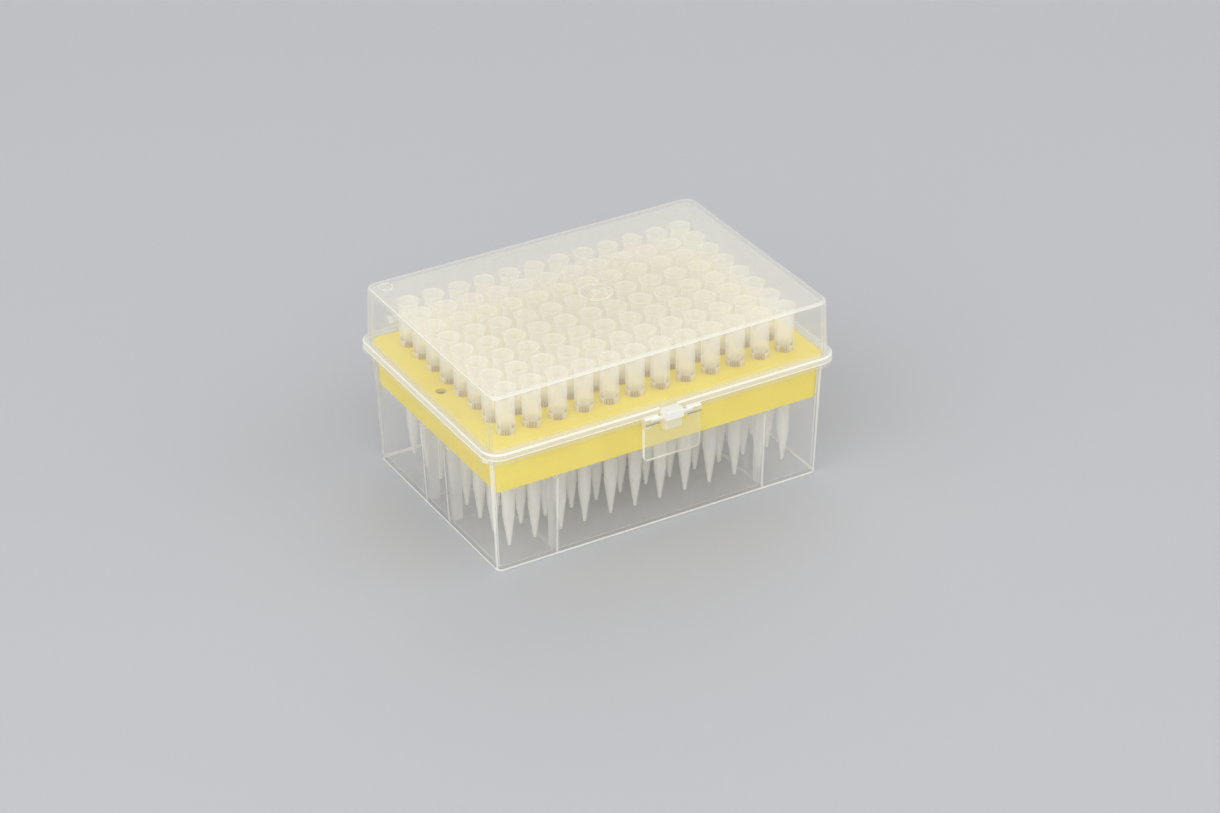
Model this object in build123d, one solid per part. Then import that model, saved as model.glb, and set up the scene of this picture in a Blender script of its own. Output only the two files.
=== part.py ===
from build123d import *
import math
import os

# Box of pipette tips, in millimetres.
# A drafted base box with a rim flange carries a perforated tray. The tray holds ninety-six tips,
# in columns of eight as an eight-channel pipette takes them. A lid hinges on two moulded pins at
# the back, and a tab that swings on the lid's front lug latches it to the base.
# The origin is the middle of the base's underside: X runs along the box, -Y is the latch side, +Z is up.

# Tip grid, the layout of a 96-well microplate
tip_pitch = 9.0
tip_columns = 12
tip_rows = 8

# Base box
rim_height = 42.3
rim_margin = 8.7  # from an outer tip's centre to the cavity wall at the rim
base_wall = 1.05
base_floor = 1.2
base_draft = 2.5
base_cavity_corner = 0.8  # at the floor
base_floor_round = 0.5  # inside, where the walls meet the floor
base_foot_round = 0.5
base_flange_thickness = 1.9
flange_reach = 2.8
flange_corner = 6.0
flange_outer_round = 0.7
flange_parting_round = 0.3

# Ribs inside the base
rib_thickness = 1.2
rib_reach = 3.5
rib_edge_round = 0.25
long_wall_rib_inset = 12.5  # from an outer tip's centre, along X
short_wall_rib_offset = 7.5
rib_to_skirt_gap = 0.3

# Lid
lid_seat_gap = 0.1
lid_height = 20.35  # above the lid's parting face
lid_wall = 1.1
lid_roof = 1.1
lid_draft = 2.4
lid_ledge = 1.5
lid_cavity_corner = 2.6  # at the roof
lid_ceiling_round = 0.6  # inside, where the walls meet the roof
lid_roof_round = 1.1
lid_flange_thickness = 1.9
gate_ring_radius = 5.6
gate_ring_width = 0.8
gate_boss_radius = 1.6
mould_ring_radius = 2.5
mould_ring_width = 0.5
mould_ring_inset = 5.2  # from the lid's walls at the roof to the ring's centre
roof_mark_height = 0.3

# Lid hinge
hinge_pin_radius = 1.1
hinge_pin_clearance = 0.05
hinge_knuckle_wall = 0.85
hinge_to_flange_gap = 0.45
hinge_station_offset = 40.0
hinge_station_width = 20.0
hinge_ear_thickness = 1.6
hinge_side_gap = 0.25
hook_web_thickness = 1.2
hook_mouth = 1.9
bracket_bite = 1.0  # how deep brackets run into a flange

# Latch lug on the lid
lug_width = 6.0
lug_head_reach = 4.1
lug_head_height = 2.8
lug_stem_reach = 2.9
lug_stem_height = 3.6
lug_to_flange_gap = 0.3
lug_edge_round = 0.3
latch_pin_radius = 0.7
latch_pin_clearance = 0.05
latch_pin_engagement = 2.0
latch_pin_end_gap = 0.3

# Latch tab
latch_knuckle_radius = 1.5
latch_knuckle_to_flange_gap = 0.2
latch_axis_drop = 0.5  # below the parting face
tab_width = 19.9
tab_thickness = 1.2
tab_length = 13.75  # from the pivot to the free edge
tab_corner = 1.6
tab_notch_side_gap = 2.0
tab_notch_clearance = 0.3
tab_notch_corner = 1.5
tab_edge_round = 0.25
snap_ridge_drop = 1.1  # from the base flange's underside to the ridge's middle
snap_ridge_height = 1.2
snap_ridge_to_flange_gap = 0.15
snap_ridge_inset = 0.6

# Tray
tray_plate = 1.4
tray_lip = 0.75  # how far the plate's edge lies on the rim
tray_edge_round = 0.3
skirt_depth = 14.1
skirt_wall = 1.0
skirt_draft = 3.5
skirt_gap = 0.3
skirt_inner_corner = 0.4  # at the skirt's lower edge
tip_hole_clearance = 0.12
lift_hole_radius = 1.8
lift_hole_edge = 0.2  # from the skirt's inner face

# Tip, from its fine end upwards
tip_seat_height = 40.3
tip_collar_height = 13.5
tip_rim_height = 2.0
tip_end_height = 2.6
tip_knee_height = 11.0
tip_end_radius = 0.48
tip_end_bore = 0.25
tip_point_radius = 0.82
tip_point_bore = 0.45
tip_knee_radius = 1.95
tip_knee_bore = 1.45
tip_shank_radius = 2.5
tip_shank_bore = 1.95
tip_collar_foot_radius = 2.88
tip_collar_radius = 2.98
tip_collar_bore = 2.55
tip_rim_radius = 3.7
tip_rim_bore = 3.3

# Places worked out from the sizes above
grid_length = (tip_columns - 1) * tip_pitch
grid_width = (tip_rows - 1) * tip_pitch
cavity_length = grid_length + 2 * rim_margin
cavity_width = grid_width + 2 * rim_margin
base_length = cavity_length + 2 * base_wall
base_width = cavity_width + 2 * base_wall
flange_length = base_length + 2 * flange_reach
flange_width = base_width + 2 * flange_reach
flange_face = flange_width / 2
base_flange_bottom = rim_height - base_flange_thickness

parting_height = rim_height + lid_seat_gap
lid_flange_top = parting_height + lid_flange_thickness
lid_top = parting_height + lid_height
lid_length = flange_length - 2 * lid_ledge
lid_width = flange_width - 2 * lid_ledge

hinge_knuckle_radius = hinge_pin_radius + hinge_pin_clearance + hinge_knuckle_wall
hinge_y = flange_face + hinge_to_flange_gap + hinge_knuckle_radius
hinge_z = lid_flange_top

latch_y = -(flange_face + latch_knuckle_to_flange_gap + latch_knuckle_radius)
latch_z = parting_height - latch_axis_drop
lug_head_bottom = lid_flange_top - lug_head_height
lug_bottom = lug_head_bottom - lug_stem_height
notch_half_width = lug_width / 2 + tab_notch_side_gap

skirt_length = cavity_length - 2 * skirt_gap
skirt_width = cavity_width - 2 * skirt_gap
skirt_bottom = rim_height - skirt_depth
tray_top = rim_height + tray_plate
tip_end_z = tray_top - tip_seat_height


def inset_over(depth, draft):
    """How far a drafted wall leans in over a depth."""
    return depth * math.tan(math.radians(draft))


def drafted_block(wide_length, wide_width, narrow_corner, narrow_z, wide_z, draft):
    """A rounded block that widens by its draft from one level to another."""
    depth = abs(wide_z - narrow_z)
    lean = inset_over(depth, draft)
    outline = RectangleRounded(wide_length - 2 * lean, wide_width - 2 * lean, narrow_corner)
    direction = (0, 0, math.copysign(1, wide_z - narrow_z))
    return extrude(Pos(0, 0, narrow_z) * outline, amount=depth, dir=direction, taper=-draft)


def side_rectangle(y_from, y_to, z_from, z_to):
    """A rectangle in a side profile, given by its limits along Y and Z."""
    centre = Pos((y_from + y_to) / 2, (z_from + z_to) / 2)
    return centre * Rectangle(abs(y_to - y_from), abs(z_to - z_from))


def along_x(profile, x_from, x_to):
    """A side profile drawn in Y and Z, made solid between two stations of X."""
    return extrude(Plane.YZ.offset(x_from) * profile, amount=x_to - x_from)


def rim_bead(bottom, top, bottom_round, top_round):
    """A solid plate of the flange's outline with rounded edges."""
    bead = extrude(Pos(0, 0, bottom) * RectangleRounded(flange_length, flange_width, flange_corner), top - bottom)
    bead = fillet(bead.edges().group_by(Axis.Z)[0], bottom_round)
    return fillet(bead.edges().group_by(Axis.Z)[-1], top_round)


def base_rib(centre_x, centre_y, length, width):
    """A rib that rises from inside the floor and ends inside the wall behind it."""
    root = base_floor / 2
    top = skirt_bottom - rib_to_skirt_gap
    blade = Box(length, width, top - root)
    blade = Pos(centre_x, centre_y, (root + top) / 2) * fillet(blade.edges(), rib_edge_round)
    mid_wall = drafted_block(
        cavity_length + base_wall, cavity_width + base_wall, base_cavity_corner, 0, rim_height, base_draft
    )
    return blade & mid_wall


def base_ribs():
    """Two ribs on each of the four walls."""
    floor_lean = inset_over(rim_height - base_floor, base_draft)
    end_x = base_length / 2 - floor_lean - base_wall - rib_reach
    end_y = base_width / 2 - floor_lean - base_wall - rib_reach
    blade_x = base_length / 2 - end_x
    blade_y = base_width / 2 - end_y
    long_wall_x = grid_length / 2 - long_wall_rib_inset
    ribs = []
    for side in (-1, 1):
        for place in (-1, 1):
            long_wall = (place * long_wall_x, side * (end_y + blade_y / 2))
            short_wall = (side * (end_x + blade_x / 2), place * short_wall_rib_offset)
            ribs.append(base_rib(*long_wall, rib_thickness, blade_y))
            ribs.append(base_rib(*short_wall, blade_x, rib_thickness))
    return ribs


def base_hinge_bracket(centre_x):
    """Two ears on the base flange with the hinge pin between them."""
    x_from = centre_x - hinge_station_width / 2
    x_to = centre_x + hinge_station_width / 2
    back = hinge_y + hinge_knuckle_radius
    ear = Pos(hinge_y, hinge_z) * Circle(hinge_knuckle_radius)
    ear += side_rectangle(hinge_y - hinge_knuckle_radius, back, base_flange_bottom, hinge_z)
    ear += side_rectangle(flange_face - bracket_bite, back, base_flange_bottom, rim_height)
    pin = Pos(hinge_y, hinge_z) * Circle(hinge_pin_radius)
    return [
        along_x(ear, x_from, x_from + hinge_ear_thickness),
        along_x(ear, x_to - hinge_ear_thickness, x_to),
        along_x(pin, x_from, x_to),
    ]


def make_base():
    """The open box with its flange, ribs and hinge pins."""
    outer_corner = base_cavity_corner + base_wall
    base = drafted_block(base_length, base_width, outer_corner, 0, rim_height, base_draft)
    base = fillet(base.edges().group_by(Axis.Z)[0], base_foot_round)
    base += rim_bead(base_flange_bottom, rim_height, flange_outer_round, flange_parting_round)
    cavity = drafted_block(cavity_length, cavity_width, base_cavity_corner, base_floor, rim_height, base_draft)
    base -= fillet(cavity.edges().group_by(Axis.Z)[0], base_floor_round)
    base += base_ribs()
    for side in (-1, 1):
        base += base_hinge_bracket(side * hinge_station_offset)
    return base


def lid_hook(centre_x):
    """A hook that snaps over the hinge pin, open underneath."""
    half = hinge_station_width / 2 - hinge_ear_thickness - hinge_side_gap
    hook = Pos(hinge_y, hinge_z) * Circle(hinge_knuckle_radius)
    hook += side_rectangle(flange_face - bracket_bite, hinge_y, hinge_z - hook_web_thickness, hinge_z)
    hook -= Pos(hinge_y, hinge_z) * Circle(hinge_pin_radius + hinge_pin_clearance)
    mouth_bottom = hinge_z - 2 * hinge_knuckle_radius
    hook -= side_rectangle(hinge_y - hook_mouth / 2, hinge_y + hook_mouth / 2, mouth_bottom, hinge_z)
    return along_x(hook, centre_x - half, centre_x + half)


def latch_lug():
    """The block on the lid's front with a stub pin on either side."""
    head_front = -(flange_face + lug_head_reach)
    stem_front = -(flange_face + lug_stem_reach)
    back = -(flange_face + lug_to_flange_gap)
    profile = side_rectangle(head_front, -flange_face + bracket_bite, parting_height, lid_flange_top)
    profile += side_rectangle(head_front, back, lug_head_bottom, parting_height)
    profile += side_rectangle(stem_front, back, lug_bottom, lug_head_bottom)
    lug = along_x(profile, -lug_width / 2, lug_width / 2)
    lug = fillet(lug.edges().filter_by(Axis.X).group_by(Axis.Y)[0], lug_edge_round)
    pin_end = notch_half_width + latch_pin_engagement
    pins = along_x(Pos(latch_y, latch_z) * Circle(latch_pin_radius), -pin_end, pin_end)
    return lug + pins


def roof_marks():
    """The moulding gate in its ring and a plain mould ring near one corner, raised on the roof."""
    lean = inset_over(lid_height, lid_draft)
    ring_x = -(lid_length / 2 - lean - mould_ring_inset)
    ring_y = lid_width / 2 - lean - mould_ring_inset
    marks = Circle(gate_ring_radius) - Circle(gate_ring_radius - gate_ring_width)
    marks += Circle(gate_boss_radius)
    marks += Pos(ring_x, ring_y) * (Circle(mould_ring_radius) - Circle(mould_ring_radius - mould_ring_width))
    return extrude(Pos(0, 0, lid_top) * marks, roof_mark_height)


def make_lid():
    """The cover with its flange, hinge hooks and latch lug."""
    outer_corner = lid_cavity_corner + lid_wall
    lid = drafted_block(lid_length, lid_width, outer_corner, lid_top, parting_height, lid_draft)
    lid = fillet(lid.edges().group_by(Axis.Z)[-1], lid_roof_round)
    lid += rim_bead(parting_height, lid_flange_top, flange_parting_round, flange_outer_round)
    inner_length = lid_length - 2 * lid_wall
    inner_width = lid_width - 2 * lid_wall
    ceiling = lid_top - lid_roof
    hollow = drafted_block(inner_length, inner_width, lid_cavity_corner, ceiling, parting_height, lid_draft)
    lid -= fillet(hollow.edges().group_by(Axis.Z)[-1], lid_ceiling_round)
    lid += roof_marks()
    lid += latch_lug()
    for side in (-1, 1):
        lid += lid_hook(side * hinge_station_offset)
    return lid


def tab_plate():
    """The tab's blade, with rounded free corners and the notch round the lug."""
    bottom = latch_z - tab_length
    blade = Pos(0, (bottom + latch_z) / 2) * Rectangle(tab_width, tab_length)
    blade = fillet(blade.vertices().group_by(Axis.Y)[0], tab_corner)
    notch_bottom = lug_bottom - tab_notch_clearance
    notch = Pos(0, (notch_bottom + latch_z) / 2) * Rectangle(2 * notch_half_width, latch_z - notch_bottom)
    notch = fillet(notch.vertices().group_by(Axis.Y)[0], tab_notch_corner)
    outer_face = latch_y - tab_thickness / 2
    plate = extrude(Plane.XZ.offset(-outer_face) * (blade - notch), -tab_thickness)
    return fillet(plate.faces().sort_by(Axis.Y)[0].outer_wire().edges().group_by(Axis.Z)[0], tab_edge_round)


def snap_ridge():
    """The side profile of the ridge behind the blade that clicks under the base flange."""
    middle = base_flange_bottom - snap_ridge_drop
    root = latch_y
    tip = -(flange_face + snap_ridge_to_flange_gap)
    low = middle - snap_ridge_height / 2
    high = middle + snap_ridge_height / 2
    return make_face(Polyline((root, low), (tip, middle), (tip, high), (root, high), close=True))


def make_latch_tab():
    """The tab that swings on the lug's stub pins."""
    knuckle = Pos(latch_y, latch_z) * Circle(latch_knuckle_radius)
    bore = Pos(latch_y, latch_z) * Circle(latch_pin_radius + latch_pin_clearance)
    bore_end = notch_half_width + latch_pin_engagement + latch_pin_end_gap
    tab = tab_plate()
    for side in (-1, 1):
        near, far = sorted((side * notch_half_width, side * tab_width / 2))
        tab += along_x(knuckle, near, far)
        tab += along_x(snap_ridge(), near + snap_ridge_inset, far - snap_ridge_inset)
    return tab - along_x(bore, -bore_end, bore_end)


def make_tray():
    """The perforated plate with its skirt and two lifting holes."""
    lip_corner = base_cavity_corner + inset_over(rim_height - base_floor, base_draft) + tray_lip
    outline = RectangleRounded(cavity_length + 2 * tray_lip, cavity_width + 2 * tray_lip, lip_corner)
    tray = extrude(Pos(0, 0, rim_height) * outline, tray_plate)
    tray = fillet(tray.edges().group_by(Axis.Z)[-1], tray_edge_round)
    skirt_outer_corner = skirt_inner_corner + skirt_wall
    tray += drafted_block(skirt_length, skirt_width, skirt_outer_corner, skirt_bottom, rim_height, skirt_draft)
    inner_length = skirt_length - 2 * skirt_wall
    inner_width = skirt_width - 2 * skirt_wall
    tray -= drafted_block(inner_length, inner_width, skirt_inner_corner, skirt_bottom, rim_height, skirt_draft)
    hole = Cylinder(tip_shank_radius + tip_hole_clearance, tray_plate, align=(Align.CENTER, Align.CENTER, Align.MIN))
    grid = GridLocations(tip_pitch, tip_pitch, tip_columns, tip_rows)
    tray -= [Pos(0, 0, rim_height) * place * hole for place in grid]
    lift_hole = Cylinder(lift_hole_radius, tray_plate, align=(Align.CENTER, Align.CENTER, Align.MIN))
    lift_x = inner_length / 2 - lift_hole_edge - lift_hole_radius
    return tray - [Pos(side * lift_x, 0, rim_height) * lift_hole for side in (-1, 1)]


def make_tip():
    """One tip, standing on the origin on its fine end."""
    collar_top = tip_seat_height + tip_collar_height
    mouth = collar_top + tip_rim_height
    section = Polyline(
        (tip_end_bore, 0),
        (tip_end_radius, 0),
        (tip_point_radius, tip_end_height),
        (tip_knee_radius, tip_knee_height),
        (tip_shank_radius, tip_seat_height),
        (tip_collar_foot_radius, tip_seat_height),
        (tip_collar_radius, collar_top),
        (tip_rim_radius, mouth),
        (tip_rim_bore, mouth),
        (tip_collar_bore, collar_top),
        (tip_shank_bore, tip_seat_height),
        (tip_knee_bore, tip_knee_height),
        (tip_point_bore, tip_end_height),
        close=True,
    )
    return revolve(Plane.XZ * make_face(section), Axis.Z)


def tip_column(tip, column):
    """The eight tips of one column, each a solid of its own."""
    x = column * tip_pitch - grid_length / 2
    return Compound([Pos(x, row * tip_pitch - grid_width / 2, tip_end_z) * tip for row in range(tip_rows)])


os.makedirs("parts", exist_ok=True)
export_step(make_base(), "parts/base.step")
export_step(make_lid(), "parts/lid.step")
export_step(make_latch_tab(), "parts/latch_tab.step")
export_step(make_tray(), "parts/tip_tray.step")
single_tip = make_tip()
for column in range(tip_columns):
    export_step(tip_column(single_tip, column), f"parts/tips_column_{column + 1:02d}.step")
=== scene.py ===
"""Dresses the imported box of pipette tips: clear mouldings, a yellow tray and ninety-six milky tips."""

import logging
import math
import random
from dataclasses import dataclass, field
from enum import Enum
from functools import partial, reduce
from typing import Iterable, Sequence

import bmesh
import bpy
from mathutils import Euler, Matrix, Vector


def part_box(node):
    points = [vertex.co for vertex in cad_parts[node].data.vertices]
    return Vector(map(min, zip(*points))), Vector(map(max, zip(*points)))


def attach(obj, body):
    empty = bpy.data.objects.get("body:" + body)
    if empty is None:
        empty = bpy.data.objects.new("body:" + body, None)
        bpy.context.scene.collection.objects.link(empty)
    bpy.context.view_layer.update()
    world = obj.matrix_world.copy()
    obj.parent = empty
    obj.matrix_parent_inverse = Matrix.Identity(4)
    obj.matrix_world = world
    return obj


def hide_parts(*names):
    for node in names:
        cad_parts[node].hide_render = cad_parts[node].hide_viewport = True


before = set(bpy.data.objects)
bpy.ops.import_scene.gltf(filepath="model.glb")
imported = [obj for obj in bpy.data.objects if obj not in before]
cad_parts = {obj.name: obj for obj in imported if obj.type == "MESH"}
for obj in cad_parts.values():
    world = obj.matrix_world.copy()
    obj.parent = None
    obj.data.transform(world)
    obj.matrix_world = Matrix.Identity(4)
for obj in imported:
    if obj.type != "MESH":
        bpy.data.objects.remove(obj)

LOG = logging.getLogger("tip_box")
TIP_NODES = "tips_column"
MM = 0.001
WHITE = (1.0, 1.0, 1.0, 1.0)
POLYPROPYLENE_IOR = 1.49
SCHLICK_POWER = 5.0
NOISE_SPREAD = (0.3, 0.7)  # where nearly all of a Noise Texture's values lie

Value = float | bpy.types.NodeSocket


class Node(Enum):
    """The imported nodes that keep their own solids."""

    BASE = "base"
    LID = "lid"
    LATCH = "latch_tab"
    TRAY = "tip_tray"


class Body(Enum):
    """The bodies that new pieces ride on."""

    BASE = "base"


class Slot(Enum):
    """The record's material slots for new pieces; no piece here takes one."""

    TIPS = "milky_tips"


@dataclass(frozen=True)
class Tone:
    """A colour as a screen shows it, each channel from 0 to 255."""

    red: float
    green: float
    blue: float

    def linear(self) -> tuple[float, float, float, float]:
        """Gives the colour in scene light, with a full fourth channel."""
        channels = [self._channel(value / 255) for value in (self.red, self.green, self.blue)]
        return (channels[0], channels[1], channels[2], 1.0)

    @staticmethod
    def _channel(shown: float) -> float:
        """Turns one shown channel into scene light, by the sRGB curve.

        Args:
            shown: The channel as a screen shows it, from 0 to 1.

        Returns:
            The channel in scene light, from 0 to 1.
        """
        if shown <= 0.04045:
            return shown / 12.92
        return ((shown + 0.055) / 1.055) ** 2.4


@dataclass(frozen=True)
class Window:
    """A range with soft ends.

    Attributes:
        start: Where the range begins to count.
        full: From where it counts fully.
        hold: Up to where it counts fully.
        end: Where it has stopped counting.
    """

    start: float
    full: float
    hold: float
    end: float


class ShaderSketch:
    """The node tree of one material, with short calls for what the finishes need."""

    def __init__(self, name: str) -> None:
        """Starts an empty tree.

        Args:
            name: The material's name.
        """
        self.material = bpy.data.materials.new(name)
        self.material.use_nodes = True
        self.tree = self.material.node_tree
        self.tree.nodes.clear()

    def add(
        self, kind: str, sockets: dict[str | int, object] | None = None, **settings: object
    ) -> bpy.types.Node:
        """Adds a node.

        Args:
            kind: The node's class name, without its ShaderNode prefix.
            sockets: Input names or places, each with the value or the socket that feeds it.
            settings: The node's own properties.

        Returns:
            The new node.
        """
        node = self.tree.nodes.new("ShaderNode" + kind)
        for name, value in settings.items():
            setattr(node, name, value)
        for name, value in (sockets or {}).items():
            self.feed(node.inputs[name], value)
        return node

    def feed(self, socket: bpy.types.NodeSocket, value: object) -> None:
        """Links a socket into an input, or sets the input's own value.

        Args:
            socket: The input.
            value: The socket, tone or plain value that it gets.
        """
        if isinstance(value, bpy.types.NodeSocket):
            self.tree.links.new(value, socket)
        elif isinstance(value, Tone):
            socket.default_value = value.linear()
        else:
            socket.default_value = value

    def math(self, operation: str, *terms: Value, clamp: bool = False) -> bpy.types.NodeSocket:
        """Adds a Math node.

        Args:
            operation: Blender's name for the operation.
            terms: Its inputs, in order.
            clamp: Whether the result stays between 0 and 1.

        Returns:
            The result's socket.
        """
        return self.add("Math", dict(enumerate(terms)), operation=operation, use_clamp=clamp).outputs[0]

    def times(self, *terms: Value) -> bpy.types.NodeSocket:
        """Multiplies two or more values."""
        return reduce(partial(self.math, "MULTIPLY"), terms)

    def highest(self, *terms: Value) -> bpy.types.NodeSocket:
        """Gives the highest of two or more values."""
        return reduce(partial(self.math, "MAXIMUM"), terms)

    def unsigned(self, value: Value) -> bpy.types.NodeSocket:
        """Gives a value without its sign."""
        return self.math("ABSOLUTE", value)

    def shift(self, share: Value, change: Value, start: Value) -> bpy.types.NodeSocket:
        """Adds a share of a change to a starting value.

        Args:
            share: How much of the change is added.
            change: The whole change.
            start: The value without it.

        Returns:
            The shifted value's socket.
        """
        return self.math("MULTIPLY_ADD", share, change, start)

    def rise(
        self, value: Value, low: float, high: float, bottom: Value = 0.0, top: Value = 1.0
    ) -> bpy.types.NodeSocket:
        """Maps a value smoothly from one range to another, held at both ends.

        Args:
            value: What is mapped.
            low: Where the rise starts.
            high: Where it ends.
            bottom: The result at the start.
            top: The result at the end.

        Returns:
            The mapped value's socket.
        """
        sockets = {"Value": value, "From Min": low, "From Max": high, "To Min": bottom, "To Max": top}
        return self.add("MapRange", sockets, interpolation_type="SMOOTHSTEP").outputs["Result"]

    def within(self, value: Value, window: Window) -> bpy.types.NodeSocket:
        """Gives 1 inside a window and 0 outside it, with a smooth step at each of its ends.

        Args:
            value: What is looked at.
            window: The range that counts.

        Returns:
            The share, from 0 to 1.
        """
        return self.times(
            self.rise(value, window.start, window.full),
            self.rise(value, window.end, window.hold),
        )

    def above(self, value: Value, limit: float) -> bpy.types.NodeSocket:
        """Gives 1 where a value is over a limit, and 0 elsewhere."""
        return self.math("GREATER_THAN", value, limit)

    def below(self, value: Value, limit: float) -> bpy.types.NodeSocket:
        """Gives 1 where a value is under a limit, and 0 elsewhere."""
        return self.math("LESS_THAN", value, limit)

    def blend(self, share: Value, first: object, second: object) -> bpy.types.NodeSocket:
        """Mixes two colours.

        Args:
            share: How much of the second colour shows.
            first: The first colour, or its socket.
            second: The second colour, or its socket.

        Returns:
            The mixed colour's socket.
        """
        return self.add("Mix", {0: share, 6: first, 7: second}, data_type="RGBA").outputs[2]

    def place(self) -> bpy.types.NodeSocket:
        """Gives the point's place on the piece at rest, in metres."""
        return self.add("TexCoord").outputs["Object"]

    def facing(self) -> bpy.types.NodeSocket:
        """Gives 0 where a face is seen head on, and 1 where it is seen edge on."""
        return self.add("LayerWeight", {"Blend": 0.5}).outputs["Facing"]

    def clear(self) -> bpy.types.Node:
        """Adds a shader that lets everything through."""
        return self.add("BsdfTransparent", {"Color": WHITE})

    def gloss(self, roughness: float) -> bpy.types.Node:
        """Adds a plain white gloss."""
        return self.add("BsdfGlossy", {"Color": WHITE, "Roughness": roughness})

    def milk(self, colour: object, through: Value) -> bpy.types.Node:
        """Adds a matte shader that also passes light on.

        Args:
            colour: Its colour, or the socket that gives it.
            through: The share of its light that comes from behind.

        Returns:
            The mixed shader.
        """
        front = self.add("BsdfDiffuse", {"Color": colour})
        back = self.add("BsdfTranslucent", {"Color": colour})
        return self.mix(through, front, back)

    def noise(
        self, place: bpy.types.NodeSocket, grain: float, detail: float = 3.0
    ) -> bpy.types.NodeSocket:
        """Adds a Noise Texture.

        Args:
            place: The coordinates that it follows.
            grain: The size of its spots, in metres.
            detail: How many finer layers it has.

        Returns:
            The noise, about 0.5 on average.
        """
        return self.add("TexNoise", {"Vector": place, "Scale": 1 / grain, "Detail": detail}).outputs[0]

    def bump(self, height: bpy.types.NodeSocket, depth: float, strength: float) -> bpy.types.NodeSocket:
        """Adds a Bump node.

        Args:
            height: The relief, from 0 to 1.
            depth: The relief's depth, in metres.
            strength: How much of it shows.

        Returns:
            The bent normal's socket.
        """
        return self.add("Bump", {"Height": height, "Distance": depth, "Strength": strength}).outputs[0]

    def mix(self, share: Value, first: bpy.types.Node, second: bpy.types.Node) -> bpy.types.Node:
        """Mixes two shaders.

        Args:
            share: How much of the second shader shows.
            first: The first shader.
            second: The second shader.

        Returns:
            The Mix Shader node.
        """
        return self.add("MixShader", {0: share, 1: first.outputs[0], 2: second.outputs[0]})

    def lighten_shadow(self, share: Value, kept: float) -> bpy.types.NodeSocket:
        """Lets more light through milky plastic than is seen through it, as its forward scatter does.

        Args:
            share: How milky the surface looks.
            kept: The part of that share that stops light.

        Returns:
            The share for every kind of ray.
        """
        shadow = self.add("LightPath").outputs["Is Shadow Ray"]
        return self.times(share, self.shift(shadow, kept - 1, 1.0))

    def finish(self, shader: bpy.types.Node) -> bpy.types.Material:
        """Links the last shader to the output and gives the material."""
        self.add("OutputMaterial", {"Surface": shader.outputs[0]})
        return self.material


@dataclass(frozen=True)
class Surface:
    """Where a point of a moulding is, and which way its face looks, as sockets.

    Attributes:
        across: The place from left to right.
        along: The place from front to back.
        height: The place from the bench up.
        side_x: How squarely the face looks left or right, from 0 to 1.
        side_y: How squarely it looks to the front or the back, from 0 to 1.
        lift: How much it looks up, from -1 to 1.
        hand: Under 0 on faces that look to the front right or to the back left.
        grain: A soft noise.
    """

    across: bpy.types.NodeSocket
    along: bpy.types.NodeSocket
    height: bpy.types.NodeSocket
    side_x: bpy.types.NodeSocket
    side_y: bpy.types.NodeSocket
    lift: bpy.types.NodeSocket
    hand: bpy.types.NodeSocket
    grain: bpy.types.NodeSocket


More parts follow.
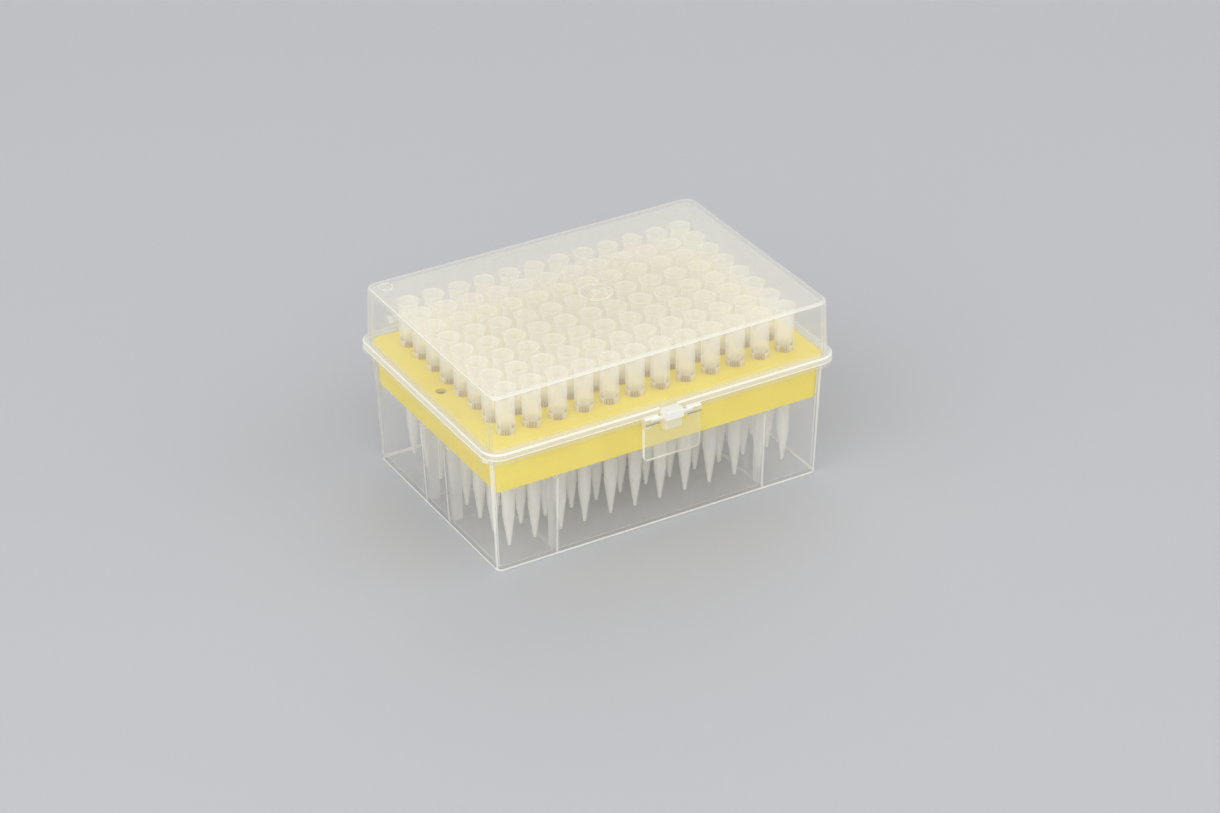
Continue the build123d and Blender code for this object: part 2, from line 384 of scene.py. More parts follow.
@dataclass(frozen=True)
class ClearMoulding:
    """Clear polypropylene, faintly milky on its flats, with painted highlights on its rounds and corners
    and painted dark lines of shade on some rounds.
    """

    name: str
    tone: Tone = Tone(246, 246, 242)
    # painted highlight colour of the rounds and corners
    highlight_tone: Tone = Tone(248, 247, 240)
    # painted shade colour of the dark lines in the middle of some rounds
    shade_line_tone: Tone = Tone(150, 150, 140)
    haze: float = 0.08
    # how much painted highlight the level edges get
    edge_highlight: float = 0.9
    # how much painted shade those dark lines get
    shade_line_haze: float = 0.0
    shade_line_share: float = 0.9
    # painted highlight on the upright corners, and painted shade on them where corner_shade is set
    corner_highlight: float = 0.6
    corner_shade: float = 0.0
    # painted highlight on the corners that form the box's outline
    outline_highlight: float = 0.0
    outline_limits: tuple[float, float] = (0.0, 0.0)
    # how a face has to look to get the painted highlight of a level edge, the painted dark line in its
    # middle, the painted highlight of an upright corner or that of the outline
    level_tilt: Window = Window(0.1, 0.25, 0.97, 0.998)
    shade_line_tilt: Window = Window(0.4, 0.48, 0.62, 0.7)
    corner_side: Window = Window(0.7, 0.86, 0.96, 0.99)
    outline_side: Window = Window(0.15, 0.35, 0.96, 0.99)
    outline_hand: float = -0.05
    grazing_haze: float = 0.6
    grazing_limits: tuple[float, float] = (0.62, 0.85)
    translucence: float = 0.5
    dense_translucence: float = 0.25
    dense_limits: tuple[float, float] = (0.35, 0.9)
    shadow_share: float = 0.6
    gloss_roughness: float = 0.1
    refraction: float = POLYPROPYLENE_IOR
    grazing_mirror: float = 0.4
    mottle_grain: float = 12 * MM
    mottle_share: float = 0.05

    def material(self) -> bpy.types.Material:
        """Builds the material.

        Returns:
            The material, ready to give to a piece.
        """
        sketch = ShaderSketch(self.name)
        surface = self._surface(sketch)
        edge, shade_line = self._edges(sketch, surface)
        facing = sketch.facing()
        grazing = sketch.rise(facing, *self.grazing_limits, 0.0, self.grazing_haze)
        share = sketch.highest(self._veil(sketch, surface), grazing, edge, shade_line)
        # the milky colour, with painted highlights and painted dark lines of shade blended in
        colour = sketch.blend(shade_line, sketch.blend(edge, self.tone, self.highlight_tone), self.shade_line_tone)
        film = sketch.mix(self._mirror(sketch, facing), sketch.clear(), sketch.gloss(self.gloss_roughness))
        through = sketch.rise(share, *self.dense_limits, self.translucence, self.dense_translucence)
        milk = sketch.milk(colour, through)
        return sketch.finish(sketch.mix(sketch.lighten_shadow(share, self.shadow_share), film, milk))

    def _surface(self, sketch: ShaderSketch) -> Surface:
        """Reads the point's place and its face's direction.

        Args:
            sketch: The tree that the nodes go into.

        Returns:
            The sockets of both.
        """
        place = sketch.place()
        spot = sketch.add("SeparateXYZ", {0: place}).outputs
        look = sketch.add("SeparateXYZ", {0: sketch.add("TexCoord").outputs["Normal"]}).outputs
        return Surface(
            across=spot[0],
            along=spot[1],
            height=spot[2],
            side_x=sketch.unsigned(look[0]),
            side_y=sketch.unsigned(look[1]),
            lift=look[2],
            hand=sketch.times(look[0], look[1]),
            grain=sketch.noise(place, self.mottle_grain, detail=1.0),
        )

    def _mirror(self, sketch: ShaderSketch, facing: bpy.types.NodeSocket) -> bpy.types.NodeSocket:
        """Works out how much a face mirrors, the same from its front and its back.

        Args:
            sketch: The tree that the nodes go into.
            facing: 0 where the face is seen head on, and 1 edge on.

        Returns:
            The mirrored share.
        """
        head_on = ((self.refraction - 1) / (self.refraction + 1)) ** 2
        grazing = sketch.math("POWER", facing, SCHLICK_POWER)
        return sketch.shift(grazing, self.grazing_mirror - head_on, head_on)

    def _edges(self, sketch: ShaderSketch, surface: Surface) -> tuple[Value, Value]:
        """Paints highlights on the rounds of level edges, with a painted dark line of shade in their
        middle, and on the upright corners.

        Args:
            sketch: The tree that the nodes go into.
            surface: Where the point is and which way it looks.

        Returns:
            How much painted highlight shows, and how much painted shade shows.
        """
        tilt = sketch.unsigned(surface.lift)
        shade_line = sketch.times(sketch.within(tilt, self.shade_line_tilt), self._wide_edges(sketch, surface))
        level = sketch.times(
            sketch.within(tilt, self.level_tilt),
            sketch.shift(shade_line, -self.shade_line_share, 1.0),
            self._edge_strength(sketch, surface),
        )
        # upright corners get a painted highlight and, where set, a painted dark line of shade
        corner = sketch.within(surface.side_x, self.corner_side)
        upright = sketch.times(corner, self.corner_highlight)
        lit = sketch.highest(level, upright, self._outline(sketch, surface))
        dark = sketch.times(shade_line, self.shade_line_haze)
        return lit, sketch.highest(dark, sketch.times(corner, self.corner_shade))

    def _outline(self, sketch: ShaderSketch, surface: Surface) -> bpy.types.NodeSocket:
        """Paints highlights on the front right and back left corners, where the box's outline falls and the
        wall's thickness is seen edge on.

        Args:
            sketch: The tree that the nodes go into.
            surface: Where the point is and which way it looks.

        Returns:
            How much these corners light up.
        """
        bottom, top = self.outline_limits
        return sketch.times(
            sketch.above(surface.height, bottom),
            sketch.below(surface.height, top),
            sketch.within(surface.side_x, self.outline_side),
            sketch.below(surface.hand, self.outline_hand),
            self.outline_highlight,
        )

    def _edge_strength(self, sketch: ShaderSketch, surface: Surface) -> Value:
        """Gives how strong the painted highlights on level edges are."""
        return self.edge_highlight

    def _wide_edges(self, sketch: ShaderSketch, surface: Surface) -> Value:
        """Gives 1 where level edges are wide enough to show a painted dark line of shade."""
        return 0.0

    def _veil(self, sketch: ShaderSketch, surface: Surface) -> bpy.types.NodeSocket:
        """Works out the haze away from the edges, slightly uneven."""
        uneven = sketch.rise(surface.grain, *NOISE_SPREAD, 1 - self.mottle_share, 1 + self.mottle_share)
        return sketch.math("MULTIPLY", self._depth(sketch, surface), uneven, clamp=True)

    def _depth(self, sketch: ShaderSketch, surface: Surface) -> Value:
        """Gives the haze of each place before it is made uneven."""
        return self.haze


@dataclass(frozen=True)
class RibPlace:
    """Where the ribs of two facing walls stand, measured from the box's middle.

    Attributes:
        middle: How far along its wall each rib's middle is.
        wall: How far out the ribs end and the wall starts.
    """

    middle: float
    wall: float


@dataclass(frozen=True)
class BaseMoulding(ClearMoulding):
    """The base's plastic, milkier in its ribs, along their roots in the wall, and in the flange."""

    flange_haze: float = 0.17
    # weaker painted highlight on the flange's lower edge
    flange_highlight: float = 0.25
    flange_bottom: float = 40.35 * MM
    parting_line: float = 41.9 * MM
    down_tilt: tuple[float, float] = (-0.7, -0.4)
    down_share: float = 0.1
    rib_haze: float = 0.26
    rib_half: float = 0.65 * MM
    rib_root_haze: float = 0.55
    rib_root_half: float = 0.2 * MM
    rib_top: float = 28.0 * MM
    long_wall_ribs: RibPlace = RibPlace(37.0 * MM, 39.2 * MM)
    short_wall_ribs: RibPlace = RibPlace(7.5 * MM, 57.2 * MM)
    floor_top: float = 1.0 * MM
    # painted highlight along the floor's outer edge
    floor_rim_highlight: float = 0.85
    upright_tilt: float = 0.5
    outline_highlight: float = 0.75
    outline_limits: tuple[float, float] = (0.3 * MM, 40.3 * MM)

    def _depth(self, sketch: ShaderSketch, surface: Surface) -> Value:
        """Adds the ribs, the painted highlight on the floor's edge and the flange to the walls' haze.

        Args:
            sketch: The tree that the nodes go into.
            surface: Where the point is and which way it looks.

        Returns:
            The haze of each place.
        """
        upright = sketch.below(sketch.unsigned(surface.lift), self.upright_tilt)
        floor_edge = sketch.times(upright, sketch.below(surface.height, self.floor_top))
        flange = sketch.above(surface.height, self.flange_bottom)
        walls = sketch.math("ADD", self._ribs(sketch, surface), self.haze)
        floored = sketch.shift(floor_edge, self.floor_rim_highlight, walls)
        return sketch.shift(flange, self.flange_haze - self.haze, floored)

    def _ribs(self, sketch: ShaderSketch, surface: Surface) -> bpy.types.NodeSocket:
        """Gives the haze that the ribs and their roots in the walls add.

        Args:
            sketch: The tree that the nodes go into.
            surface: Where the point is and which way it looks.

        Returns:
            The haze, which is 0 away from the ribs.
        """
        across = sketch.unsigned(surface.across)
        along = sketch.unsigned(surface.along)
        return sketch.times(
            sketch.highest(
                self._rib_pair(sketch, across, along, self.long_wall_ribs),
                self._rib_pair(sketch, along, across, self.short_wall_ribs),
            ),
            sketch.above(surface.height, self.floor_top),
            sketch.below(surface.height, self.rib_top),
        )

    def _rib_pair(
        self, sketch: ShaderSketch, beside: Value, out: Value, place: RibPlace
    ) -> bpy.types.NodeSocket:
        """Gives the haze of the ribs on two facing walls, and of the walls' outside along them.

        Args:
            sketch: The tree that the nodes go into.
            beside: The point's distance from the box's middle, along these walls.
            out: Its distance from the box's middle, towards these walls.
            place: Where the ribs stand.

        Returns:
            The haze, which is 0 away from the ribs.
        """
        off = sketch.unsigned(sketch.math("SUBTRACT", beside, place.middle))
        rib = sketch.times(sketch.below(off, self.rib_half), sketch.below(out, place.wall), self.rib_haze)
        line = sketch.rise(off, self.rib_half, self.rib_root_half)
        root = sketch.times(line, sketch.above(out, place.wall), self.rib_root_haze)
        return sketch.highest(rib, root)

    def _edge_strength(self, sketch: ShaderSketch, surface: Surface) -> Value:
        """Weakens the painted highlight on the flange's lower edge and on whatever looks down, and keeps
        the painted highlight on the parting line bright.

        Args:
            sketch: The tree that the nodes go into.
            surface: Where the point is and which way it looks.

        Returns:
            How strong the painted highlights on level edges are.
        """
        low = sketch.times(
            sketch.above(surface.height, self.flange_bottom),
            sketch.below(surface.height, self.parting_line),
        )
        weak = sketch.shift(low, self.flange_highlight - self.edge_highlight, self.edge_highlight)
        return sketch.times(weak, sketch.rise(surface.lift, *self.down_tilt, self.down_share, 1.0))


@dataclass(frozen=True)
class LidMoulding(ClearMoulding):
    """The lid's plastic, with a denser roof and flange, a lit foot to its walls and a frosted lug."""

    roof_haze: float = 0.235
    roof_bottom: float = 61.6 * MM
    mark_haze: float = 0.58
    mark_bottom: float = 62.8 * MM
    flange_haze: float = 0.45
    flange_top: float = 44.35 * MM
    foot_haze: float = 0.4
    foot_top: float = 45.1 * MM
    # softer painted highlight on the edges over the flange
    roof_highlight: float = 0.6
    end_edge_side: float = 0.6
    outline_highlight: float = 0.45
    outline_limits: tuple[float, float] = (44.6 * MM, 61.8 * MM)
    lug_half: float = 3.05 * MM
    lug_back: float = -44.2 * MM
    lug_head_bottom: float = 41.5 * MM
    lug_head_haze: float = 0.85
    lug_stem_haze: float = 0.35

    def _depth(self, sketch: ShaderSketch, surface: Surface) -> Value:
        """Adds the flange, the walls' foot, the lug, the roof and its marks to the walls' haze.

        Args:
            sketch: The tree that the nodes go into.
            surface: Where the point is and which way it looks.

        Returns:
            The haze of each place.
        """
        height = surface.height
        low = sketch.rise(height, self.foot_top, self.flange_top, self.haze, self.foot_haze)
        flange = sketch.below(height, self.flange_top)
        walls = sketch.shift(flange, self.flange_haze - self.foot_haze, low)
        roof = sketch.above(height, self.roof_bottom)
        roofed = sketch.shift(roof, self.roof_haze - self.haze, walls)
        mark = sketch.above(height, self.mark_bottom)
        marked = sketch.shift(mark, self.mark_haze - self.roof_haze, roofed)
        width = sketch.below(sketch.unsigned(surface.across), self.lug_half)
        lug = sketch.times(width, sketch.below(surface.along, self.lug_back))
        head = sketch.above(height, self.lug_head_bottom)
        frost = sketch.shift(head, self.lug_head_haze - self.lug_stem_haze, self.lug_stem_haze)
        return sketch.highest(marked, sketch.times(lug, frost))

    def _edge_strength(self, sketch: ShaderSketch, surface: Surface) -> Value:
        """Keeps the painted highlights on the edges over the flange softer than its own."""
        cover = sketch.above(surface.height, self.flange_top)
        return sketch.shift(cover, self.roof_highlight - self.edge_highlight, self.edge_highlight)

    def _wide_edges(self, sketch: ShaderSketch, surface: Surface) -> Value:
        """Keeps the painted dark line of shade to the roof's two end edges."""
        cover = sketch.above(surface.height, self.flange_top)
        return sketch.times(cover, sketch.above(surface.side_x, self.end_edge_side))


@dataclass(frozen=True)
class TabMoulding(ClearMoulding):
    """The tab's plastic, with painted highlights on its edges and its knuckles' tops, and painted dark
    lines of shade on each knuckle.
    """

    rim_side: tuple[float, float] = (0.93, 0.7)
    knuckle_bottom: float = 39.5 * MM
    knuckle_side: tuple[float, float] = (0.6, 0.9)
    # painted highlight on the knuckles' ends
    knuckle_end_highlight: float = 0.3
    # painted shade on the lower front of each knuckle, below this height
    under_top: float = 41.65 * MM
    under_tilt: tuple[float, float] = (-0.08, -0.25)
    crown_bottom: float = 42.45 * MM
    crown_tilt: tuple[float, float] = (0.58, 0.7)
    crown_line_tilt: Window = Window(0.34, 0.44, 0.54, 0.64)
    # painted dark line of shade across each knuckle's top
    crown_shade_line_haze: float = 0.35
    notch_half: float = 6.5 * MM
    notch_bottom: float = 36.0 * MM
    notch_share: float = 0.2
    # the painted highlight on the blade's edges fades to this share towards the right-hand side, as if lit
    # from the left
    far_highlight_share: float = 0.4
    far_edge_limits: tuple[float, float] = (-4 * MM, 8 * MM)

    def _edges(self, sketch: ShaderSketch, surface: Surface) -> tuple[Value, Value]:
        """Paints highlights on the blade's edges and the knuckles' tops, and paints dark lines of shade on
        the knuckles.

        Args:
            sketch: The tree that the nodes go into.
            surface: Where the point is and which way it looks.

        Returns:
            How much painted highlight shows, and how much painted shade line shows.
        """
        knuckle = sketch.above(surface.height, self.knuckle_bottom)
        crown = sketch.above(surface.height, self.crown_bottom)
        end = sketch.rise(surface.side_x, *self.knuckle_side, 0.0, self.knuckle_end_highlight)
        top = sketch.times(crown, sketch.rise(surface.lift, *self.crown_tilt, 0.0, self.edge_highlight))
        lit = sketch.highest(top, self._blade_outline(sketch, surface, knuckle), sketch.times(knuckle, end))
        line = sketch.times(crown, sketch.within(surface.lift, self.crown_line_tilt), self.crown_shade_line_haze)
        under = sketch.times(
            knuckle,
            sketch.below(surface.height, self.under_top),
            sketch.rise(surface.lift, *self.under_tilt, 0.0, self.shade_line_haze),
        )
        return lit, sketch.highest(line, under)

    def _blade_outline(
        self, sketch: ShaderSketch, surface: Surface, knuckle: bpy.types.NodeSocket
    ) -> bpy.types.NodeSocket:
        """Paints highlights on the blade's edges, weaker round the notch and towards the right-hand side,
        as if lit from the left.

        Args:
            sketch: The tree that the nodes go into.
            surface: Where the point is and which way it looks.
            knuckle: 1 on the knuckles and 0 on the blade.

        Returns:
            How much painted highlight the outline gets.
        """
        far_highlight = self.edge_highlight * self.far_highlight_share
        notch = sketch.times(
            sketch.below(sketch.unsigned(surface.across), self.notch_half),
            sketch.above(surface.height, self.notch_bottom),
        )
        return sketch.times(
            sketch.math("SUBTRACT", 1.0, knuckle),
            sketch.rise(surface.side_y, *self.rim_side),
            sketch.rise(surface.across, *self.far_edge_limits, self.edge_highlight, far_highlight),
            sketch.shift(notch, self.notch_share - 1, 1.0),
        )


@dataclass(frozen=True)
class SatinTray:
    """Opaque yellow polypropylene with the fine satin of an etched mould."""

    name: str = "satin_yellow_tray"
    tone: Tone = Tone(246, 226, 84)
    deep_tone: Tone = Tone(241, 219, 72)
    roughness: float = 0.42
    roughness_spread: float = 0.06
    grain: float = 0.35 * MM
    grain_depth: float = 0.03 * MM
    grain_strength: float = 0.25
    cloud: float = 14 * MM

    def material(self) -> bpy.types.Material:
        """Builds the material.

        Returns:
            The material, ready to give to a piece.
        """
        sketch = ShaderSketch(self.name)
        place = sketch.place()
        clouds = sketch.rise(sketch.noise(place, self.cloud), *NOISE_SPREAD)
        relief = sketch.noise(place, self.grain, detail=2.0)
        smoothest = self.roughness - self.roughness_spread
        roughest = self.roughness + self.roughness_spread
        sockets = {
            "Base Color": sketch.blend(clouds, self.tone, self.deep_tone),
            "Roughness": sketch.rise(relief, *NOISE_SPREAD, smoothest, roughest),
            "IOR": POLYPROPYLENE_IOR,
            "Normal": sketch.bump(relief, self.grain_depth, self.grain_strength),
        }
        return sketch.finish(sketch.add("BsdfPrincipled", sockets))


@dataclass(frozen=True)
class MilkyTip:
    """Natural polypropylene of a tip: milky, half see-through and whiter at its rim and its outline."""

    name: str = "milky_tip"
    tone: Tone = Tone(253, 251, 244)
    face_share: float = 0.3
    side_share: float = 0.48
    side_facing: tuple[float, float] = (0.3, 1.0)
    height_limits: tuple[float, float] = (20 * MM, 58 * MM)
    height_gain: tuple[float, float] = (1.1, 0.95)
    shadow_share: float = 0.4
    rim_share: float = 0.4
    rim_bottom: float = 58.9 * MM
    foot_share: tuple[float, float] = (0.1, 0.7)
    foot_facing: tuple[float, float] = (0.22, 0.42)
    foot_limits: tuple[float, float] = (43.7 * MM, 45.8 * MM)
    translucence: float = 0.3
    sheen: float = 0.05
    roughness: float = 0.35

    def material(self) -> bpy.types.Material:
        """Builds the material.

        Returns:
            The material, ready to give to a piece.
        """
        sketch = ShaderSketch(self.name)
        share = sketch.lighten_shadow(self._share(sketch), self.shadow_share)
        milk = sketch.milk(self.tone, self.translucence)
        skin = sketch.mix(self.sheen, milk, sketch.gloss(self.roughness))
        return sketch.finish(sketch.mix(share, sketch.clear(), skin))

    def _share(self, sketch: ShaderSketch) -> bpy.types.NodeSocket:
        """Works out how milky it looks: more when edge on, low down or at the rim, less in the foot.

        Args:
            sketch: The tree that the nodes go into.

        Returns:
            The milky share, before shadows are lightened.
        """
        facing = sketch.facing()
        height = sketch.add("SeparateXYZ", {0: sketch.place()}).outputs[2]
        wall = sketch.times(
            sketch.rise(facing, *self.side_facing, self.face_share, self.side_share),
            sketch.rise(height, *self.height_limits, *self.height_gain),
        )
        rim = sketch.times(sketch.above(height, self.rim_bottom), self.rim_share)
        body = sketch.highest(wall, rim)
        bottom, top = self.foot_limits
        foot = sketch.times(sketch.above(height, bottom), sketch.below(height, top))
        clearing = sketch.math("SUBTRACT", sketch.rise(facing, *self.foot_facing, *self.foot_share), body)
        return sketch.shift(foot, clearing, body)


@dataclass(frozen=True)
class PaintedShadeRib:
    """The tip's plastic on the fine ribs in its foot, coloured brown with the painted shade of the hole
    they lie in.
    """

    name: str = "painted_shade_rib"
    # painted shade of the tray's hole, in two tones mixed by noise
    tone: Tone = Tone(214, 190, 122)
    deep_tone: Tone = Tone(198, 172, 106)
    cloud: float = 4 * MM

    def material(self) -> bpy.types.Material:
        """Builds the material.

        Returns:
            The material, ready to give to a piece.
        """
        sketch = ShaderSketch(self.name)
        clouds = sketch.rise(sketch.noise(sketch.place(), self.cloud, detail=0.0), *NOISE_SPREAD)
        colour = sketch.blend(clouds, self.tone, self.deep_tone)
        return sketch.finish(sketch.add("BsdfDiffuse", {"Color": colour}))


@dataclass(frozen=True)
class StudioPaper:
    """The matte pale sheet under the box."""

    name: str = "pale_studio_paper"
    tone: Tone = Tone(188, 189, 193)
    fibre: float = 1.5 * MM
    roughness: tuple[float, float] = (0.55, 0.65)
    specular: float = 0.3

    def material(self) -> bpy.types.Material:
        """Builds the material.

        Returns:
            The material, ready to give to a piece.
        """
        sketch = ShaderSketch(self.name)
        fibres = sketch.noise(sketch.place(), self.fibre)
        sockets = {
            "Base Color": self.tone,
            "Roughness": sketch.rise(fibres, *NOISE_SPREAD, *self.roughness),
            "Specular IOR Level": self.specular,
        }
        return sketch.finish(sketch.add("BsdfPrincipled", sockets))


def dress(piece: bpy.types.Object, material: bpy.types.Material) -> None:
    """Gives every material slot of a piece the same material.

    Args:
        piece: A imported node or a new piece.
        material: What it is given.
    """
    if not piece.material_slots:
        piece.data.materials.append(material)
    for slot in piece.material_slots:
        slot.material = material


def rounded_outline(
    corners: Sequence[tuple[float, float, float]], steps: int = 3, most: float = 0.45
) -> list[tuple[float, float]]:
    """Rounds the corners of an open outline with arcs.

    Args:
        corners: Each corner's two coordinates and the radius of its round.
        steps: How many edges each round has.
        most: The largest share of a side that a round may take at one end.

    Returns:
        The outline's points.
    """
    points: list[tuple[float, float]] = []
    for index, (across, up, radius) in enumerate(corners):
        if radius == 0 or index in (0, len(corners) - 1):
            points.append((across, up))
            continue
        corner = Vector((across, up))
        before = Vector(corners[index - 1][:2]) - corner
        after = Vector(corners[index + 1][:2]) - corner
        half = before.angle(after) / 2
        reach = min(radius / math.tan(half), most * before.length, most * after.length)
        start = corner + before.normalized() * reach
        end = corner + after.normalized() * reach
        for step in range(steps + 1):
            share = step / steps
            bend = start.lerp(corner, share).lerp(corner.lerp(end, share), share)
            points.append((bend.x, bend.y))
    return points


@dataclass
class TipShape:
    """One tip's form, from its fine end at the origin upwards, in metres."""

    length: float
    rim_radius: float
    seat: float
    segments: int = 32
    ribs: int = 20
    rib_height: float = 1.9 * MM
    rib_thickness: float = 0.42 * MM
    rib_depth: float = 0.3 * MM
    rib_cover: float = 0.12 * MM
    rim_height: float = 2.0 * MM
    rim_bore: float = 3.28 * MM
    collar_radius: float = 2.98 * MM
    collar_foot_radius: float = 2.88 * MM
    collar_bore: float = 2.55 * MM
    shank_radius: float = 2.5 * MM
    shank_bore: float = 1.95 * MM
    knee_height: float = 11.0 * MM
    knee_radius: float = 1.95 * MM
    knee_bore: float = 1.45 * MM
    point_height: float = 2.6 * MM
    point_radius: float = 0.82 * MM
    point_bore: float = 0.45 * MM
    end_radius: float = 0.48 * MM
    end_bore: float = 0.25 * MM
    fine_round: float = 0.12 * MM
    rim_round: float = 0.144 * MM
    point_round: float = 2.0 * MM
    knee_round: float = 14.0 * MM
    collar_round: float = 3.0 * MM
    shank_round: float = 2.0 * MM

    def outline(self) -> list[tuple[float, float]]:
        """Gives the closed section as radius and height, out round the tip and back down its bore.

        Returns:
            The section's points.
        """
        collar_top = self.length - self.rim_height
        corners = [
            (self.end_bore, 0.0, 0.0),
            (self.end_radius, 0.0, self.fine_round),
            (self.point_radius, self.point_height, self.point_round),
            (self.knee_radius, self.knee_height, self.knee_round),
            (self.shank_radius, self.seat, 0.0),
            (self.collar_foot_radius, self.seat, self.fine_round),
            (self.collar_radius, collar_top, self.collar_round),
            (self.rim_radius, self.length, self.rim_round),
            (self.rim_bore, self.length, self.rim_round),
            (self.collar_bore, collar_top, self.collar_round),
            (self.shank_bore, self.seat, self.shank_round),
            (self.knee_bore, self.knee_height, self.knee_round),
            (self.point_bore, self.point_height, self.point_round),
            (self.end_bore, 0.0, 0.0),
        ]
        return rounded_outline(corners)[:-1]

    def add_to(self, build: bmesh.types.BMesh, foot: Vector, turn: Euler) -> None:
        """Adds one tip to a mesh.

        Args:
            build: The mesh under construction.
            foot: Where the tip's fine end stands.
            turn: How the tip is turned in its hole.
        """
        seat = Vector((0, 0, self.seat))
        move = Matrix.Translation(foot + seat) @ turn.to_matrix().to_4x4() @ Matrix.Translation(-seat)
        self._add_body(build, move)
        for rib in range(self.ribs):
            self._add_rib(build, move, math.tau * rib / self.ribs)

    def _add_body(self, build: bmesh.types.BMesh, move: Matrix) -> None:
        """Turns the section round the axis.

        Args:
            build: The mesh under construction.
            move: Where the tip stands and how it leans.
        """
        outline = self.outline()
        rings = []
        for step in range(self.segments):
            angle = math.tau * step / self.segments
            spoke = Vector((math.cos(angle), math.sin(angle), 0))
            ring = [build.verts.new(move @ (spoke * radius + Vector((0, 0, up)))) for radius, up in outline]
            rings.append(ring)
        for step, ring in enumerate(rings):
            following = rings[(step + 1) % self.segments]
            for index in range(len(outline)):
                above = (index + 1) % len(outline)
                build.faces.new((ring[index], following[index], following[above], ring[above]))

    def _add_rib(self, build: bmesh.types.BMesh, move: Matrix, angle: float) -> None:
        """Adds one of the fine ribs inside the foot of the collar, in the second material, which is painted
        with the shade of the hole.

        Args:
            build: The mesh under construction.
            move: Where the tip stands and how it leans.
            angle: How far round the tip the rib stands, in radians.
        """
        half = self.rib_thickness / 2
        outer = self.collar_foot_radius - self.rib_cover
        inner = outer - self.rib_depth
        spin = Matrix.Rotation(angle, 4, "Z")
        corners = [
            build.verts.new(move @ (spin @ Vector((across, side, up))))
            for up in (self.seat + self.rib_cover, self.seat + self.rib_height)
            for across, side in ((inner, -half), (outer, -half), (outer, half), (inner, half))
        ]
        sides = ((0, 3, 2, 1), (4, 5, 6, 7), (0, 1, 5, 4), (1, 2, 6, 5), (2, 3, 7, 6), (3, 0, 4, 7))
        for side in sides:
            build.faces.new([corners[index] for index in side]).material_index = 1


@dataclass
class TipRack:
    """The ninety-six tips, as one piece for each column of eight."""

    tray_top: float
    rows: int = 8
    lean: float = 0.35
    sharp_angle: float = 40.0
    finish: MilkyTip = field(default_factory=MilkyTip)
    rib_painted_shade: PaintedShadeRib = field(default_factory=PaintedShadeRib)
    chance: random.Random = field(default_factory=lambda: random.Random(96))

    def build(self, columns: Iterable[str]) -> list[bpy.types.Object]:
        """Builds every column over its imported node.

        Args:
            columns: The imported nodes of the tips.

        Returns:
            The new pieces.
        """
        materials = (self.finish.material(), self.rib_painted_shade.material())
        return [self._column(name, materials) for name in columns]

    def _column(self, node: str, materials: Sequence[bpy.types.Material]) -> bpy.types.Object:
        """Builds the eight tips of one column.

        Args:
            node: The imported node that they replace.
            materials: What the tips and their fine ribs are given.

        Returns:
            The new piece.
        """
        low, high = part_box(node)
        rim_radius = (high.x - low.x) / 2
        pitch = (high.y - low.y - 2 * rim_radius) / (self.rows - 1)
        shape = TipShape(length=high.z - low.z, rim_radius=rim_radius, seat=self.tray_top - low.z)
        build = bmesh.new()
        for row in range(self.rows):
            foot = Vector(((low.x + high.x) / 2, low.y + rim_radius + row * pitch, low.z))
            shape.add_to(build, foot, self._turn())
        bmesh.ops.recalc_face_normals(build, faces=build.faces)
        mesh = bpy.data.meshes.new("milky_" + node)
        build.to_mesh(mesh)
        build.free()
        mesh.shade_smooth()
        mesh.set_sharp_from_angle(angle=math.radians(self.sharp_angle))
        piece = bpy.data.objects.new(mesh.name, mesh)
        bpy.context.scene.collection.objects.link(piece)
        for material in materials:
            mesh.materials.append(material)
        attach(piece, Body.BASE.value)
        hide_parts(node)
        return piece

    def _turn(self) -> Euler:
        """Gives a tip its own small lean in its hole, and any turn about its axis.

        Returns:
            The tip's turn about its seat.
        """
        lean = math.radians(self.lean)
        return Euler((
            self.chance.uniform(-lean, lean),
            self.chance.uniform(-lean, lean),
            self.chance.uniform(0, math.tau),
        ))


@dataclass
class ClearShell:
    """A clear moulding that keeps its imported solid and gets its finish."""

    node: Node
    finish: ClearMoulding

    def build(self) -> bpy.types.Object:
        """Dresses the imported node.

        Returns:
            The dressed node.
        """
        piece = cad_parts[self.node.value]
        dress(piece, self.finish.material())
        return piece


@dataclass
class Tray:
    """The yellow plate and skirt that hold the tips."""

    finish: SatinTray = field(default_factory=SatinTray)

    def build(self) -> bpy.types.Object:
        """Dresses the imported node.

        Returns:
            The dressed node.
        """
        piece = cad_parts[Node.TRAY.value]
        dress(piece, self.finish.material())
        return piece

    def top(self) -> float:
        """Gives the height of the plate's upper face, in metres."""
        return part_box(Node.TRAY.value)[1].z


@dataclass
class SoftLamp:
    """A square soft lamp that points at the box."""

    name: str
    place: tuple[float, float, float]
    side: float
    watts: float
    aim: Vector = field(default_factory=lambda: Vector((0, 0, 0.03)))

    def build(self) -> bpy.types.Object:
        """Adds the lamp.

        Returns:
            The lamp.
        """
        light = bpy.data.lights.new(self.name, "AREA")
        light.shape = "SQUARE"
        light.size = self.side
        light.energy = self.watts
        lamp = bpy.data.objects.new(self.name, light)
        lamp.location = self.place
        lamp.rotation_euler = (self.aim - Vector(self.place)).to_track_quat("-Z", "Y").to_euler()
        bpy.context.scene.collection.objects.link(lamp)
        return lamp


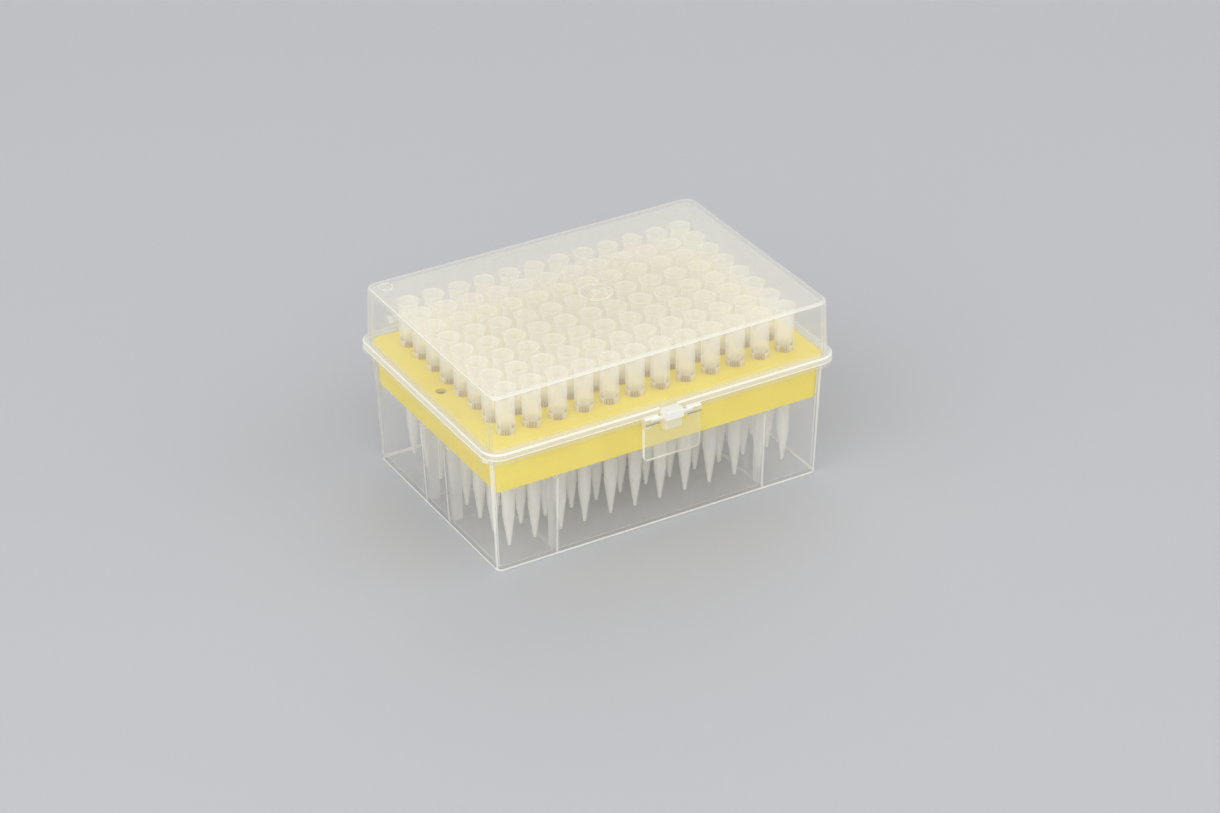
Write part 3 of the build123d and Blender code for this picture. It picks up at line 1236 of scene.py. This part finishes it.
@dataclass
class Studio:
    """The pale floor, the soft lamps and the camera."""

    floor_side: float = 8.0
    floor_gap: float = 0.05 * MM
    sky_strength: float = 0.56
    bounces: int = 10
    clear_bounces: int = 28
    paper: StudioPaper = field(default_factory=StudioPaper)
    lamps: tuple[SoftLamp, ...] = (
        SoftLamp("key_lamp", (-0.9, -1.1, 0.9), 2.2, 16.5),
        SoftLamp("fill_lamp", (1.1, -1.2, 0.85), 2.2, 13.0),
        SoftLamp("left_lamp", (-1.4, -0.1, 0.75), 1.6, 7.0),
        SoftLamp("back_lamp", (0.9, 1.6, 1.15), 2.0, 8.5),
    )

    def build(self) -> None:
        """Sets up everything that isn't the box."""
        self._lay_floor()
        self._light_sky()
        for lamp in self.lamps:
            lamp.build()
        Camera().build()
        scene = bpy.context.scene
        scene.view_settings.view_transform = "Standard"
        scene.cycles.transparent_max_bounces = self.clear_bounces
        scene.cycles.max_bounces = self.bounces

    def _lay_floor(self) -> None:
        """Lays the paper that the box stands on."""
        mesh = bpy.data.meshes.new("studio_floor")
        build = bmesh.new()
        bmesh.ops.create_grid(build, x_segments=1, y_segments=1, size=self.floor_side / 2)
        build.to_mesh(mesh)
        build.free()
        floor = bpy.data.objects.new(mesh.name, mesh)
        floor.location.z = -self.floor_gap
        bpy.context.scene.collection.objects.link(floor)
        dress(floor, self.paper.material())

    def _light_sky(self) -> None:
        """Gives the world its soft light, and the paper's own tone where it is seen."""
        world = bpy.data.worlds.new("studio_sky")
        bpy.context.scene.world = world
        world.use_nodes = True
        nodes, links = world.node_tree.nodes, world.node_tree.links
        nodes.clear()
        light = nodes.new("ShaderNodeBackground")
        light.inputs["Color"].default_value = WHITE
        light.inputs["Strength"].default_value = self.sky_strength
        seen = nodes.new("ShaderNodeBackground")
        seen.inputs["Color"].default_value = self.paper.tone.linear()
        seen.inputs["Strength"].default_value = 1.0
        rays = nodes.new("ShaderNodeLightPath").outputs
        either = nodes.new("ShaderNodeMath")
        either.operation = "MAXIMUM"
        links.new(rays["Is Camera Ray"], either.inputs[0])
        links.new(rays["Is Transmission Ray"], either.inputs[1])
        mix = nodes.new("ShaderNodeMixShader")
        links.new(either.outputs[0], mix.inputs[0])
        links.new(light.outputs[0], mix.inputs[1])
        links.new(seen.outputs[0], mix.inputs[2])
        links.new(mix.outputs[0], nodes.new("ShaderNodeOutputWorld").inputs["Surface"])


@dataclass
class Camera:
    """The camera, which looks down at the box over its front left corner."""

    place: tuple[float, float, float] = (-0.46838, -0.82435, 0.57468)
    azimuth: float = -29.853
    elevation: float = 30.252
    roll: float = -0.522
    lens: float = 102.3965
    sensor: float = 36.0

    def build(self) -> bpy.types.Object:
        """Adds the camera.

        Returns:
            The camera.
        """
        data = bpy.data.cameras.new("studio_camera")
        data.sensor_fit = "HORIZONTAL"
        data.sensor_width = self.sensor
        data.lens = self.lens
        camera = bpy.data.objects.new("studio_camera", data)
        turn = Matrix.Rotation(math.radians(self.azimuth), 4, "Z")
        tilt = Matrix.Rotation(math.radians(90 - self.elevation), 4, "X")
        roll = Matrix.Rotation(math.radians(self.roll), 4, "Z")
        camera.matrix_world = Matrix.Translation(self.place) @ turn @ tilt @ roll
        bpy.context.scene.collection.objects.link(camera)
        bpy.context.scene.camera = camera
        return camera


def clear_shells() -> list[ClearShell]:
    """Lists the clear mouldings with their finishes.

    Returns:
        The base, the lid and the latch tab, not yet dressed.
    """
    base = BaseMoulding("clear_base_moulding", haze=0.08, corner_highlight=0.7)
    lid = LidMoulding(
        "clear_lid_moulding",
        haze=0.09,
        shade_line_haze=0.3,
        corner_highlight=0.0,
        corner_shade=0.3,
        gloss_roughness=0.12,
    )
    # the tab's dark tone is painted shade under its knuckles
    latch = TabMoulding("clear_latch_moulding", shade_line_tone=Tone(95, 100, 100), haze=0.13, shade_line_haze=0.75)
    return [ClearShell(Node.BASE, base), ClearShell(Node.LID, lid), ClearShell(Node.LATCH, latch)]


def main() -> None:
    """Builds the studio, the mouldings, the tray and the tips, and reports each."""
    logging.basicConfig(level=logging.INFO, format="%(name)s: %(message)s")
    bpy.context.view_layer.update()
    Studio().build()
    for shell in clear_shells():
        LOG.info("dressed %s", shell.build().name)
    tray = Tray()
    LOG.info("dressed %s", tray.build().name)
    columns = sorted(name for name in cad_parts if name.startswith(TIP_NODES))
    for piece in TipRack(tray_top=tray.top()).build(columns):
        LOG.info("built %s with %d faces", piece.name, len(piece.data.polygons))


if __name__ == "__main__":
    main()
